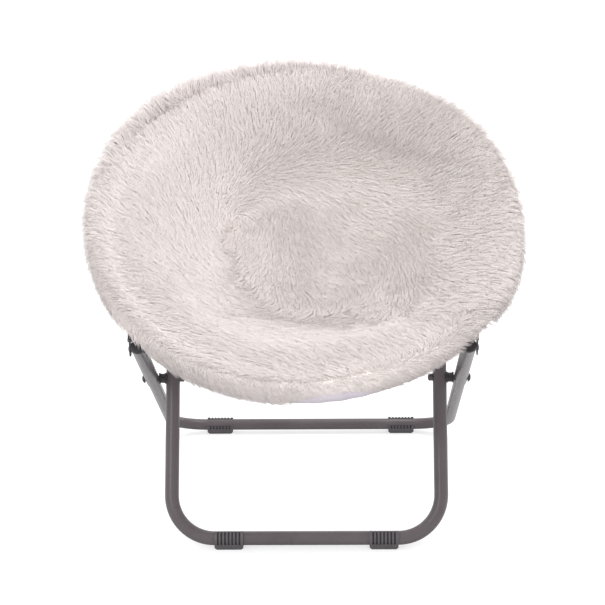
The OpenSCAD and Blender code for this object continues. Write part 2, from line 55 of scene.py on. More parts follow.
HINGE_DROP = 0.017
RING_R = 0.360
BOWL_R = 0.3399
BOWL_DEPTH = 0.090
BOWL_POWER = 2.0
# Middle of the hollow where one sits: across, backward and out of the seat.
HOLLOW = (0.12, 0.12, -0.06)

# The fur's hem round the tube, where 90 is its top and -90 its underside, and the openings in it.
HEM_ANGLE = -64.0
BRACKET_HEM_ANGLE = 12.0
HINGE_HEM_ANGLE = -18.0
BRACKET_AT = {"front": 39.45, "rear": 48.19}
BRACKET_HALF_WIDTH = 5.5
HINGE_HALF_WIDTH = 2.0
FADE = 2.5
# Where the fur has ridden up over the front rim: middle, spread, and turn round the tube.
PULL_AT = 98
PULL_SPREAD = 13.0
PULL_TURN = 100

# Cloth round the tube, the edge of the part that folds flat, and the pad under it.
FUR_SKIN_R = 0.0165
SKIN_SPLIT = 0.335
BACKING_WALL = 0.0032
LINING_WALL = 0.0014
LINING_R = 0.0150
PAD_R = 0.326
PAD_TOP = 0.008
PAD_UNDER = 0.0225
PAD_EDGE = 0.0135
PAD_VOXEL = 0.0065
MOST_SWELL = 0.007
SWELL_PRESSURE = 4.0
SWELL_FRAMES = 20

# Each floor bar's section: its middle, backward and up, and its radius.
FRONT_BAR = (-0.15925, 0.0185, 0.0125)
REAR_BAR = (0.36071, 0.0170, 0.0110)

ACROSS = np.array([1.0, 0.0, 0.0])
BACKWARD = np.array([0.0, math.cos(TILT), math.sin(TILT)])
OUT_OF_SEAT = np.array([0.0, -math.sin(TILT), math.cos(TILT)])
hinge_pin = np.array(next(j for j in frame["joints"] if j["name"] == "ring_hinge")["pos_m"])
RING_CENTRE = hinge_pin + HINGE_DROP * OUT_OF_SEAT
HALVES = {"front": -1.0, "rear": 1.0}


def from_ring(points):
    """Points given as across, backward and out of the seat, in the chair's frame."""
    p = np.asarray(points, float)
    return RING_CENTRE + p[..., :1] * ACROSS + p[..., 1:2] * BACKWARD + p[..., 2:3] * OUT_OF_SEAT


def in_ring(points):
    """Points of the chair's frame, given as across, backward and out of the seat."""
    return (points - RING_CENTRE) @ np.stack([ACROSS, BACKWARD, OUT_OF_SEAT], axis=1)


def smooth(value, low, high):
    """Soft step from 0 at the low value to 1 at the high one."""
    t = np.clip((np.asarray(value) - low) / (high - low), 0, 1)
    return t * t * (3 - 2 * t)


def bowl_height(r):
    return -BOWL_DEPTH * (1 - np.clip(r / BOWL_R, 0, 2) ** BOWL_POWER)


def bowl_slope(r):
    steepest = BOWL_DEPTH * BOWL_POWER / BOWL_R
    return np.arctan(steepest * np.clip(r / BOWL_R, 0, 2) ** (BOWL_POWER - 1))


def bowl_point(r, under):
    """Radius and height of the bowl's surface, a distance under its fur side."""
    q = bowl_slope(r)
    return r + under * np.sin(q), bowl_height(r) - under * np.cos(q)


def opening(angle, at, half_width):
    return np.clip((half_width + FADE - np.abs(angle - at)) / FADE, 0, 1)


def openings(angle, half):
    """Share of the opening at a bracket and at a hinge, for angles from the hinge in degrees."""
    near_end = np.minimum(angle, 180 - angle)
    return (opening(near_end, BRACKET_AT[half], BRACKET_HALF_WIDTH),
            opening(near_end, 0, HINGE_HALF_WIDTH))


def front_pull(angle, half):
    """Where the fur has ridden up over the front rim and its lining shows."""
    if half != "front":
        return np.zeros_like(angle)
    return np.exp(-(np.abs(angle - PULL_AT) / PULL_SPREAD) ** 3)


# Swells and tight spots of the fur round the rim: way from the ring's right end, spread and height.
RIM_SWELLS = ((132, 30, 0.024), (92, 18, 0.010), (42, 16, 0.008), (336, 14, 0.007),
              (204, 18, -0.009), (292, 16, -0.010))


def fullness(angle, half):
    """How far the fur stands off the rim beyond its usual thickness, in metres."""
    way = angle + (180 if half == "front" else 0)
    total = 0.0 * way
    for at, spread, height in RIM_SWELLS:
        total = total + height * np.exp(-((way - at) / spread) ** 2)
    return total


def hem_at(angle, half):
    """Place of the fur's hem round the tube."""
    bracket, hinge = openings(angle, half)
    hem = HEM_ANGLE + bracket * (BRACKET_HEM_ANGLE - HEM_ANGLE)
    hem = hem + hinge * (HINGE_HEM_ANGLE - HEM_ANGLE)
    return hem + PULL_TURN * front_pull(angle, half)


# ---------------------------------------------------------------- node trees
def feed(tree, socket, value):
    """Gives a socket a constant, or a link from another socket."""
    if isinstance(value, bpy.types.NodeSocket):
        tree.links.new(value, socket)
    else:
        socket.default_value = value


def node(tree, kind, inputs=None, **settings):
    """Adds a node, sets its properties and feeds its inputs."""
    made = tree.nodes.new(kind)
    for key, value in settings.items():
        setattr(made, key, value)
    for key, value in (inputs or {}).items():
        feed(tree, made.inputs[key], value)
    return made


def sum_of(tree, operation, *values):
    return node(tree, "ShaderNodeMath", dict(enumerate(values)), operation=operation).outputs[0]


def vector_sum(tree, operation, *values):
    made = node(tree, "ShaderNodeVectorMath", operation=operation)
    for i, value in enumerate(values):
        feed(tree, made.inputs["Scale" if operation == "SCALE" and i == 1 else i], value)
    return made.outputs["Value" if operation in ("DOT_PRODUCT", "LENGTH", "DISTANCE") else "Vector"]


def off_normal(tree, vector, normal):
    """What is left of a vector once its share along the normal is taken out."""
    return vector_sum(tree, "SUBTRACT", vector, vector_sum(
        tree, "SCALE", normal, vector_sum(tree, "DOT_PRODUCT", vector, normal)))


def parts_of(tree, vector):
    return node(tree, "ShaderNodeSeparateXYZ", {0: vector}).outputs


def between(tree, value, start, end, low, high, **settings):
    """Carries a value from one range to another, and holds it at the ends."""
    return node(tree, "ShaderNodeMapRange", {0: value, 1: start, 2: end, 3: low, 4: high},
                **settings).outputs[0]


def linear(red, green, blue):
    """A colour written as 0 to 255 values, for a shader's socket."""
    return tuple((c / 12.92 if c <= 0.04045 else ((c + 0.055) / 1.055) ** 2.4)
                 for c in (red / 255, green / 255, blue / 255)) + (1.0,)


class Finish:
    """A node material with one shader and the few patterns that the chair's finishes share."""

    def __init__(self, name, **sockets):
        self.material = bpy.data.materials.new(name)
        self.material.use_nodes = True
        self.tree = self.material.node_tree
        self.shader = next(n for n in self.tree.nodes if n.type == "BSDF_PRINCIPLED")
        for key, value in sockets.items():
            self.shader.inputs[key.replace("_", " ")].default_value = value
        self.place = node(self.tree, "ShaderNodeTexCoord").outputs["Object"]

    def noise(self, scale, detail=3.0, roughness=0.5, stretch=None):
        place = self.place
        if stretch:
            place = node(self.tree, "ShaderNodeMapping",
                         {"Vector": place, "Scale": stretch}).outputs[0]
        return node(self.tree, "ShaderNodeTexNoise", {
            "Vector": place, "Scale": scale, "Detail": detail, "Roughness": roughness}).outputs[0]

    def ramp(self, value, *stops):
        """Colours a value by its stops, each a place and a colour."""
        ramp = node(self.tree, "ShaderNodeValToRGB", {0: value})
        while len(ramp.color_ramp.elements) < len(stops):
            ramp.color_ramp.elements.new(0.5)
        for element, (at, colour) in zip(ramp.color_ramp.elements, stops):
            element.position = at
            element.color = colour
        return ramp.outputs[0]

    def spread(self, value, low, high):
        """A pattern between 0 and 1, carried to a range."""
        return node(self.tree, "ShaderNodeMapRange", {0: value, 3: low, 4: high}).outputs[0]

    def mixed(self, share, first, second, blend="MIX"):
        mix = node(self.tree, "ShaderNodeMix", data_type="RGBA", blend_type=blend)
        for socket, value in ((0, share), (6, first), (7, second)):
            feed(self.tree, mix.inputs[socket], value)
        return mix.outputs[2]

    def link(self, value, socket):
        self.tree.links.new(value, self.shader.inputs[socket])
        return self

    def bump(self, *layers):
        """Raises the surface by each layer, given as its value and its height in metres."""
        normal = None
        for value, height in layers:
            inputs = {"Height": value, "Distance": height, "Strength": 1.0}
            if normal is not None:
                inputs["Normal"] = normal
            normal = node(self.tree, "ShaderNodeBump", inputs).outputs[0]
        return self.link(normal, "Normal")


# ---------------------------------------------------------------- finishes
WHITE = (1, 1, 1, 1)


def satin_frame_paint():
    finish = Finish("satin_frame_paint", Specular_IOR_Level=0.25, Coat_Weight=0.25,
                    Coat_Roughness=0.22)
    flow = finish.noise(14, 4)
    colour = finish.ramp(flow, (0.3, linear(100, 93, 95)), (0.7, linear(109, 102, 104)))
    specks = finish.ramp(finish.noise(900, 1), (0.66, WHITE), (0.78, (0.82, 0.8, 0.81, 1)))
    finish.link(finish.mixed(1.0, colour, specks, "MULTIPLY"), "Base Color")
    finish.link(finish.spread(finish.noise(60, 4), 0.24, 0.34), "Roughness")
    return finish.bump((finish.noise(700, 2), 0.00002), (finish.noise(45, 2), 0.0002)).material


def dark_bracket_paint():
    finish = Finish("dark_bracket_paint", Metallic=0.4)
    colour = finish.ramp(finish.noise(30, 4), (0.3, linear(84, 78, 82)), (0.7, linear(98, 92, 96)))
    finish.link(colour, "Base Color")
    finish.link(finish.spread(finish.noise(120, 3), 0.34, 0.52), "Roughness")
    return finish.bump((finish.noise(800, 2), 0.00006)).material


def black_bolt_steel():
    finish = Finish("black_bolt_steel", Metallic=0.85)
    colour = finish.ramp(finish.noise(220, 4), (0.35, linear(78, 74, 77)),
                         (0.7, linear(104, 100, 103)))
    finish.link(colour, "Base Color")
    finish.link(finish.spread(finish.noise(500, 3), 0.28, 0.5), "Roughness")
    return finish.bump((finish.noise(1500, 2), 0.00004)).material


def zinc_steel():
    finish = Finish("zinc_steel", Metallic=1.0)
    colour = finish.ramp(finish.noise(260, 4), (0.3, linear(140, 140, 144)),
                         (0.7, linear(186, 186, 190)))
    finish.link(colour, "Base Color")
    finish.link(finish.spread(finish.noise(400, 3, stretch=(1, 1, 6)), 0.22, 0.42), "Roughness")
    return finish.bump((finish.noise(1200, 2), 0.00003)).material


def black_cap_plastic():
    finish = Finish("black_cap_plastic", Specular_IOR_Level=0.4)
    colour = finish.ramp(finish.noise(90, 3), (0.3, linear(58, 55, 58)), (0.7, linear(72, 69, 72)))
    finish.link(colour, "Base Color")
    finish.link(finish.spread(finish.noise(700, 2), 0.42, 0.6), "Roughness")
    return finish.bump((finish.noise(2400, 2), 0.00005)).material


def ribbed_glide_plastic(name, bar):
    """Plastic of a glide: painted shade dark between its ribs, greyer on their crests partly from
    wear and partly as a painted highlight, scuffed on the floor.
    """
    finish = Finish(name, Specular_IOR_Level=0.45)
    tree = finish.tree
    bar_y, bar_z, bar_r = bar
    _, y, height = parts_of(tree, finish.place)
    off_bar = node(tree, "ShaderNodeCombineXYZ", {
        0: sum_of(tree, "SUBTRACT", y, bar_y), 1: sum_of(tree, "SUBTRACT", height, bar_z)})
    off_bar = vector_sum(tree, "LENGTH", off_bar.outputs[0])
    # Painted shade in the grooves between the ribs, and a painted highlight, partly wear, greyer on
    # their crests.
    lit_crest = between(tree, off_bar, bar_r + 0.0014, bar_r + 0.0026, 0.0, 1.0)
    lit_crest = sum_of(tree, "MULTIPLY", lit_crest, finish.spread(finish.noise(70, 4), 0.7, 1.2))
    colour = finish.mixed(lit_crest, linear(58, 55, 58), linear(104, 100, 103))
    worn = between(tree, height, 0.0, 0.003, 0.6, 0.0)
    worn = sum_of(tree, "MULTIPLY", worn, finish.spread(finish.noise(260, 5), 0.2, 1.2))
    finish.link(finish.mixed(worn, colour, linear(136, 131, 132)), "Base Color")
    finish.link(finish.spread(finish.noise(500, 3), 0.45, 0.65), "Roughness")
    return finish.bump((finish.noise(1800, 2), 0.00008)).material


def attribute(tree, name):
    return node(tree, "ShaderNodeAttribute", attribute_name=name, attribute_type="GEOMETRY")


def fur_colour_with_painted_shade(finish):
    """Warm off-white, with painted shade: greyer in patches round the hollow and to the right."""
    tree = finish.tree
    across = parts_of(tree, finish.place)[0]
    patches = finish.noise(11, 4, 0.6)
    hollow = vector_sum(tree, "DISTANCE", finish.place, tuple(float(c) for c in from_ring(HOLLOW)))
    # Painted shade: greyer to the right and close to the hollow, in patches, where the bowl's fur
    # lies in shade.
    side = between(tree, across, -0.20, 0.10, 0.0, 1.0, interpolation_type="SMOOTHSTEP")
    hollow_shade = between(tree, hollow, 0.33, 0.24, 0.25, 1.0, interpolation_type="SMOOTHSTEP")
    side = sum_of(tree, "MULTIPLY", side, hollow_shade)
    shade = sum_of(tree, "MULTIPLY", side, finish.spread(patches, 0.1, 1.5))
    shade = node(tree, "ShaderNodeClamp", {0: shade}).outputs[0]
    return finish.mixed(shade, linear(249, 241, 239), linear(240, 232, 229))


def long_pile():
    """Strands with painted shade, deeper at their roots, and lit partly as the cloth that they
    stand on.
    """
    finish = Finish("long_pile", Roughness=0.7, Specular_IOR_Level=0.08, Sheen_Weight=0.1,
                    Sheen_Roughness=0.5)
    tree = finish.tree
    tone = attribute(tree, "tone").outputs["Fac"]
    along = attribute(tree, "along").outputs["Fac"]
    colour = finish.mixed(finish.spread(tone, 0.0, 0.18), fur_colour_with_painted_shade(finish), linear(236, 228, 224))
    # Painted shade: each strand a little darker at its root, where the strands shade each other.
    root = finish.ramp(along, (0.0, linear(250, 247, 246)), (0.5, WHITE))
    finish.link(finish.mixed(1.0, colour, root, "MULTIPLY"), "Base Color")
    soft = node(tree, "ShaderNodeVectorTransform", {0: attribute(tree, "up").outputs["Vector"]},
                vector_type="NORMAL", convert_from="OBJECT", convert_to="WORLD").outputs[0]
    own = node(tree, "ShaderNodeNewGeometry").outputs["Normal"]
    soft = vector_sum(tree, "ADD", vector_sum(tree, "SCALE", soft, 0.8), own)
    finish.link(vector_sum(tree, "NORMALIZE", soft), "Normal")
    return finish.material


def fur_backing_cloth():
    finish = Finish("fur_backing_cloth", Roughness=0.9, Specular_IOR_Level=0.1)
    # The backing takes the strands' painted shade, mottled at random with a deeper tone.
    colour = finish.mixed(finish.spread(finish.noise(260, 4), 0.5, 1.0), fur_colour_with_painted_shade(finish),
                          linear(232, 223, 219))
    finish.link(colour, "Base Color")
    return finish.bump((finish.noise(420, 4), 0.0012)).material


def lavender_lining():
    finish = Finish("lavender_lining", Roughness=0.62, Sheen_Weight=0.2, Sheen_Roughness=0.35,
                    Specular_IOR_Level=0.3)
    tree = finish.tree
    colour = finish.ramp(finish.noise(22, 4), (0.3, linear(216, 207, 218)),
                         (0.7, linear(226, 219, 227)))
    threads = []
    for turn in (0, math.pi / 2):
        place = node(tree, "ShaderNodeMapping",
                     {"Vector": finish.place, "Rotation": (0, 0, turn)}).outputs[0]
        threads.append(node(tree, "ShaderNodeTexWave", {
            "Vector": place, "Scale": 420, "Distortion": 0.4, "Detail": 1.0},
            bands_direction="X").outputs[1])
    weave = sum_of(tree, "MAXIMUM", *threads)
    colour = finish.mixed(finish.spread(weave, 0.10, 0.0), colour, linear(180, 172, 184))
    finish.link(colour, "Base Color")
    creases = finish.noise(55, 3, stretch=(0.35, 1, 1))
    return finish.bump((weave, 0.0001), (creases, 0.0012)).material


paint = satin_frame_paint()
bracket_paint = dark_bracket_paint()
bolt_steel = black_bolt_steel()
steel = zinc_steel()
cap_plastic = black_cap_plastic()
front_glide_plastic = ribbed_glide_plastic("front_glide_plastic", FRONT_BAR)
rear_glide_plastic = ribbed_glide_plastic("rear_glide_plastic", REAR_BAR)
pile = long_pile()
backing = fur_backing_cloth()
lining = lavender_lining()

NODE_FINISHES = {
    "front_leg_frame": paint, "rear_leg_lower": paint, "rear_leg_upper_left": paint,
    "rear_leg_upper_right": paint, "front_hoop": paint, "rear_hoop": paint,
    "front_bracket_left": bracket_paint, "front_bracket_right": bracket_paint,
    "rear_bracket_left": bracket_paint, "rear_bracket_right": bracket_paint,
    "front_hinge_ends": bracket_paint, "rear_hinge_ends": bracket_paint,
    "front_bracket_rivets": steel, "rear_bracket_rivets": steel, "hinge_pins": steel,
    "pivot_bolts": bolt_steel, "pivot_washers": bolt_steel, "pivot_cap_nuts": bolt_steel,
    "pivot_spacers": cap_plastic, "front_leg_caps": cap_plastic, "rear_leg_caps": cap_plastic,
    "front_glide_left": front_glide_plastic, "front_glide_right": front_glide_plastic,
    "rear_glide_left": rear_glide_plastic, "rear_glide_right": rear_glide_plastic,
}
for name, material in NODE_FINISHES.items():
    for material_slot in frame["nodes"][name].material_slots:
        material_slot.material = material


# ---------------------------------------------------------------- cloth surfaces
def placed(name, data):
    made = bpy.data.objects.new(name, data)
    bpy.context.scene.collection.objects.link(made)
    return made


def removed(made):
    """Takes a piece away with its mesh."""
    mesh = made.data
    bpy.data.objects.remove(made)
    bpy.data.meshes.remove(mesh)


def new_piece(name, points, faces, material=None):
    mesh = bpy.data.meshes.new(name)
    corners = np.asarray(points).reshape(-1, 3)
    mesh.from_pydata([tuple(p) for p in corners], [], [tuple(f) for f in faces])
    mesh.update()
    made = placed(name, mesh)
    if material:
        mesh.materials.append(material)
    mesh.shade_smooth()
    return made


def grid_faces(rows, columns):
    index = np.arange(rows * columns).reshape(rows, columns)
    corners = (index[:-1, :-1], index[:-1, 1:], index[1:, 1:], index[1:, :-1])
    return np.stack([c.ravel() for c in corners], axis=1).tolist()


def outward(made):
    """Turns a closed or open surface's faces the same way round, outwards."""
    work = bmesh.new()
    work.from_mesh(made.data)
    bmesh.ops.remove_doubles(work, verts=work.verts, dist=1e-5)
    bmesh.ops.recalc_face_normals(work, faces=work.faces)
    work.to_mesh(made.data)
    work.free()
    return made


def final_mesh(made):
    """The mesh that a piece's modifiers make of it."""
    bpy.context.view_layer.update()
    ready = made.evaluated_get(bpy.context.evaluated_depsgraph_get())
    return bpy.data.meshes.new_from_object(ready)


def applied(made):
    """Turns a piece with its modifiers into a plain mesh."""
    mesh = final_mesh(made)
    made.modifiers.clear()
    old = made.data
    made.data = mesh
    bpy.data.meshes.remove(old)
    return made


def thickened(made, thickness):
    """Gives an open cloth its thickness, inwards from its face."""
    wall = made.modifiers.new("wall", "SOLIDIFY")
    wall.thickness = thickness
    wall.offset = -1
    return applied(made)


def soft_lumps(points, scale, amount):
    """Low smooth lumps for cloth, from a few crossed waves."""
    p = np.asarray(points) * scale
    x, y, z = p[..., 0], p[..., 1], p[..., 2]
    waves = (np.sin(x * 1.3 + 2.1 * np.sin(y * 0.7)) + np.sin(y * 1.7 + 1.3 * np.sin(z * 1.1))
             + np.sin(z * 1.1 + x * 0.6 + 0.4))
    return amount * waves / 3


def half_angles(step):
    """Angles round a half of the ring, from its first hinge to its second."""
    return np.linspace(0, 180, int(round(180 / step)) + 1)


def ring_grid(half, angles, radii, heights):
    """Grid of points for a half: a row for each angle, at its radii and heights."""
    a = np.radians(angles)[:, None]
    side = HALVES[half]
    x = radii * np.cos(a) * side
    v = radii * np.sin(a) * side
    return np.stack([x, v, heights], axis=-1)


def rim_section(angle, radius, swell=0.0):
    """Radius and height of points round the tube of the ring."""
    q = np.radians(angle)
    return RING_R + (radius + swell) * np.cos(q), (radius + swell) * np.sin(q)


# Radius and height of the fur's backing, from the top of the tube to the middle of the bowl.
SKIN_CURVE = np.array([
    (0.3600, 0.0165), (0.3500, 0.0163), (0.3380, 0.0146), (0.3200, 0.0098), (0.3000, 0.0012),
    (0.2800, -0.0100), (0.2600, -0.0222), (0.2400, -0.0340), (0.2000, -0.0525), (0.1500, -0.0690),
    (0.1000, -0.0795), (0.0500, -0.0855), (0.0000, -0.0875)])


def skin_height(r):
    """Height of the fur's backing inside the ring, rounded where it comes off the tube."""
    curve = SKIN_CURVE[::-1]
    fine = np.linspace(0, RING_R, 400)
    height = np.interp(fine, curve[:, 0], curve[:, 1])
    margin = 12
    rounding = np.hanning(2 * margin + 3)[1:-1] / (margin + 1)
    soft = np.convolve(np.pad(height, margin, mode="reflect", reflect_type="odd"), rounding, "same")
    return np.interp(r, fine, soft[margin:-margin])


# Folds and hollows of the sat-in seat: across, backward, spread and height.
SEAT_DENTS = ((0.049, 0.224, 0.013, -0.005), (0.233, 0.011, 0.014, -0.005),
              (0.158, -0.109, 0.014, -0.005), (0.089, -0.131, 0.012, -0.004),
              (0.224, -0.077, 0.035, 0.005), (-0.10, 0.16, 0.020, -0.003))


def seat_relief(x, v):
    """Fuller padding at the front left, a fold across the right at the back, and a few dents."""
    off_hollow = np.hypot(x - HOLLOW[0], v - HOLLOW[1])
    inside = smooth(SKIN_SPLIT - np.hypot(x, v), 0.0, 0.06)
    relief = 0.026 * smooth(off_hollow, 0.12, 0.38) * smooth(-x - v, -0.1, 0.15)
    across_fold = 0.48 * (x - 0.153) + 0.877 * (v - 0.20)
    relief = relief - 0.006 * np.exp(-(across_fold / 0.012) ** 2) * smooth(x, -0.02, 0.06)
    for at_x, at_v, spread, height in SEAT_DENTS:
        relief = relief + height * np.exp(-((x - at_x) ** 2 + (v - at_v) ** 2) / spread ** 2)
    return relief * inside


def rim_skin(half, step=1.0, lift=0.0):
    """Skin from the hem, over the tube, to the edge of the part that folds flat."""
    angles = half_angles(step)
    hem = hem_at(angles, half)[:, None] + lift
    q = hem + (90 - hem) * np.linspace(0, 1, 14)[None, :]
    swell = np.maximum(fullness(angles, half), -0.0015)[:, None]
    swell = swell * np.sin(np.radians(np.clip(90 - q, 0, 90)))
    r, w = rim_section(q, FUR_SKIN_R, swell)
    inner = np.linspace(0.357, SKIN_SPLIT - 0.001, 9)[None, :] * np.ones((len(angles), 1))
    q = np.concatenate([q, 90 + 0 * inner], axis=1)
    return angles, q, ring_grid(half, angles, np.concatenate([r, inner], axis=1),
                                np.concatenate([w, skin_height(inner)], axis=1))


def bowl_skin(half, start, end):
    """Skin of the part that folds flat, between two angles round its half."""
    angles = np.linspace(start, end, int(round((end - start) / 2.0)) + 1)
    r = np.concatenate([np.linspace(SKIN_SPLIT, 0.02, 34), [0.001]])
    r = r[None, :] * np.ones((len(angles), 1))
    points = ring_grid(half, angles, r, skin_height(r))
    points[..., 2] += soft_lumps(points, 22, 0.0018) * np.clip((SKIN_SPLIT - r) / 0.05, 0, 1)
    points[..., 2] += seat_relief(points[..., 0], points[..., 1])
    return points


def make_cover(name, points):
    """Knitted backing of the fur, as a thin closed cloth."""
    made = new_piece(name, from_ring(points), grid_faces(*points.shape[:2]), backing)
    thickened(facing(made, OUT_OF_SEAT), BACKING_WALL)
    made.data.set_sharp_from_angle(angle=math.radians(50))
    return made


def facing(made, direction):
    """Turns an open surface over where it faces away from a direction."""
    total = sum((p.normal * p.area for p in made.data.polygons), Vector())
    if total.dot(Vector(direction)) < 0:
        made.data.flip_normals()
    return made


# ---------------------------------------------------------------- long pile, strands on a surface
def pile_tree():
    """Strands of pile rooted on a surface, combed along its comb attribute and drawn into locks."""
    tree = bpy.data.node_groups.new("pile", "GeometryNodeTree")
    face = tree.interface
    face.new_socket("Surface", in_out="INPUT", socket_type="NodeSocketGeometry")
    for name, value in (("Strands per square metre", 1000.0), ("Strand length", 0.026),
                        ("Strand thickness", 0.00060), ("Lock size", 0.017), ("Lock pull", 0.20),
                        ("Lift", 0.46), ("Droop", 0.28), ("Curl", 0.26), ("Stray", 0.26)):
        face.new_socket(name, in_out="INPUT", socket_type="NodeSocketFloat").default_value = value
    face.new_socket("Seed", in_out="INPUT", socket_type="NodeSocketInt")
    face.new_socket("Finish", in_out="INPUT", socket_type="NodeSocketMaterial")
    face.new_socket("Pile", in_out="OUTPUT", socket_type="NodeSocketGeometry")
    given = node(tree, "NodeGroupInput").outputs

    def named(name, kind="FLOAT_VECTOR"):
        return node(tree, "GeometryNodeInputNamedAttribute", {"Name": name},
                    data_type=kind).outputs[0]

    def store(geometry, name, value, kind="FLOAT_VECTOR"):
        return node(tree, "GeometryNodeStoreNamedAttribute",
                    {"Geometry": geometry, "Name": name, "Value": value},
                    data_type=kind, domain="POINT").outputs[0]

    def chance(low, high, seed_step):
        seed = sum_of(tree, "ADD", given["Seed"], seed_step)
        made = node(tree, "FunctionNodeRandomValue", data_type="FLOAT")
        made.inputs[2].default_value = low
        made.inputs[3].default_value = high
        tree.links.new(seed, made.inputs["Seed"])
        return made.outputs[1]

    # Roots, with what each strand keeps of the place where it stands.
    scattered = node(tree, "GeometryNodeDistributePointsOnFaces", {
        "Mesh": given["Surface"], "Density": given["Strands per square metre"],
        "Seed": given["Seed"]})
    place = node(tree, "GeometryNodeInputPosition").outputs[0]
    normal = scattered.outputs["Normal"]
    points = store(scattered.outputs["Points"], "root", place)
    points = store(points, "up", normal)
    points = store(points, "tone", chance(0.0, 1.0, 1), "FLOAT")
    own_length = sum_of(tree, "MULTIPLY", given["Strand length"], named("long", "FLOAT"))
    own_length = sum_of(tree, "MULTIPLY", own_length, chance(0.7, 1.15, 2))
    points = store(points, "reach", own_length, "FLOAT")

    # Way that it lies: combed, and led astray by a broad and a fine noise.
    middle = (0.5, 0.5, 0.5)
    stray = node(tree, "ShaderNodeTexNoise",
                 {"Vector": place, "Scale": 26.0, "Detail": 2.0}).outputs[1]
    stray = vector_sum(tree, "SUBTRACT", stray, middle)
    fine = node(tree, "ShaderNodeTexWhiteNoise", {"Vector": place}).outputs[1]
    fine = vector_sum(tree, "SUBTRACT", fine, middle)
    wild = vector_sum(tree, "ADD", vector_sum(tree, "SCALE", stray, 5.0),
                      vector_sum(tree, "SCALE", fine, 0.8))
    wild = vector_sum(tree, "SCALE", wild, given["Stray"])
    flat = off_normal(tree, vector_sum(tree, "ADD", named("comb"), wild), normal)
    points = store(points, "lay", vector_sum(tree, "NORMALIZE", flat))

    # Pull of its tip towards the middle of its lock.
    locks = node(tree, "ShaderNodeTexVoronoi", {
        "Vector": place, "Scale": sum_of(tree, "DIVIDE", 1.0, given["Lock size"])}, feature="F1")
    pull = vector_sum(tree, "SUBTRACT", locks.outputs["Position"], place)
    pull = off_normal(tree, pull, normal)
    points = store(points, "pull", vector_sum(tree, "SCALE", pull, given["Lock pull"]))

    # One strand, flattened on its root, with its own height kept as the share along it.
    strand = node(tree, "GeometryNodeMeshCone", {
        "Vertices": 3, "Side Segments": 3, "Radius Top": 0.25, "Radius Bottom": 1.0, "Depth": 1.0},
        fill_type="NGON").outputs["Mesh"]
    strand = store(strand, "along", parts_of(tree, place)[2], "FLOAT")
    flattened = vector_sum(tree, "MULTIPLY", place, (1.0, 1.0, 0.0))
    strand = node(tree, "GeometryNodeSetPosition",
                  {"Geometry": strand, "Position": flattened}).outputs[0]
    leaning = vector_sum(tree, "ADD", named("up"), named("lay"))
    turn = node(tree, "FunctionNodeAlignRotationToVector", {"Vector": leaning},
                axis="Z").outputs[0]
    thickness = sum_of(tree, "MULTIPLY", given["Strand thickness"], chance(0.7, 1.25, 3))
    strands = node(tree, "GeometryNodeInstanceOnPoints", {
        "Points": points, "Instance": strand, "Rotation": turn,
        "Scale": vector_sum(tree, "SCALE", (1.0, 1.0, 1.0), thickness)}).outputs[0]
    strands = node(tree, "GeometryNodeRealizeInstances", {0: strands}).outputs[0]

    # Its course: up, over and along its way, with a curl, and gathered at the tip.
    along = named("along", "FLOAT")
    along_twice = sum_of(tree, "MULTIPLY", along, along)
    rise = sum_of(tree, "SUBTRACT", sum_of(tree, "MULTIPLY", given["Lift"], along),
                  sum_of(tree, "MULTIPLY", given["Droop"], along_twice))
    run = sum_of(tree, "ADD", sum_of(tree, "MULTIPLY", along, 0.35),
                 sum_of(tree, "MULTIPLY", along_twice, 0.5))
    rise = sum_of(tree, "MULTIPLY", rise, named("stand", "FLOAT"))
    path = vector_sum(tree, "ADD", vector_sum(tree, "SCALE", named("up"), rise),
                      vector_sum(tree, "SCALE", named("lay"), run))
    drift = vector_sum(tree, "SCALE", (1.0, 0.7, 0.4), sum_of(tree, "MULTIPLY", along, 1.4))
    wave_at = vector_sum(tree, "ADD", vector_sum(tree, "SCALE", named("root"), 160.0), drift)
    wave = node(tree, "ShaderNodeTexNoise",
                {"Vector": wave_at, "Scale": 1.0, "Detail": 1.0}).outputs[1]
    wave = vector_sum(tree, "SCALE", vector_sum(tree, "SUBTRACT", wave, middle),
                      sum_of(tree, "MULTIPLY", along, given["Curl"]))
    path = vector_sum(tree, "ADD", path, wave)
    path = vector_sum(tree, "SCALE", path, named("reach", "FLOAT"))
    gathered = vector_sum(tree, "SCALE", named("pull"), sum_of(tree, "POWER", along, 1.4))
    strands = node(tree, "GeometryNodeSetPosition", {
        "Geometry": strands, "Offset": vector_sum(tree, "ADD", path, gathered)}).outputs[0]
    strands = node(tree, "GeometryNodeSetShadeSmooth", {0: strands}).outputs[0]
    strands = node(tree, "GeometryNodeSetMaterial",
                   {"Geometry": strands, "Material": given["Finish"]}).outputs[0]
    node(tree, "NodeGroupOutput", {0: strands})
    return tree


def grown(name, surface, tree, **values):
    """The plain mesh that a tree makes on a surface, which is then taken away."""
    grower = surface.modifiers.new("grower", "NODES")
    grower.node_group = tree
    for item in tree.interface.items_tree:
        key = item.name.lower().replace(" ", "_")
        if item.item_type == "SOCKET" and item.in_out == "INPUT" and key in values:
            grower[item.identifier] = values[key]
    mesh = final_mesh(surface)
    mesh.name = name
    for layer in list(mesh.attributes):
        if layer.name in ("root", "reach", "lay", "pull", "comb", "long", "stand"):
            mesh.attributes.remove(layer)
    made = placed(name, mesh)
    removed(surface)
    return made


def give(surface, name, values):
    """Gives each point of a surface its value, or its vector, under a name."""
    values = np.asarray(values, np.float32)
    kind = "FLOAT_VECTOR" if values.ndim == 2 else "FLOAT"
    layer = surface.data.attributes.new(name, kind, "POINT")
    layer.data.foreach_set("vector" if values.ndim == 2 else "value", values.ravel())


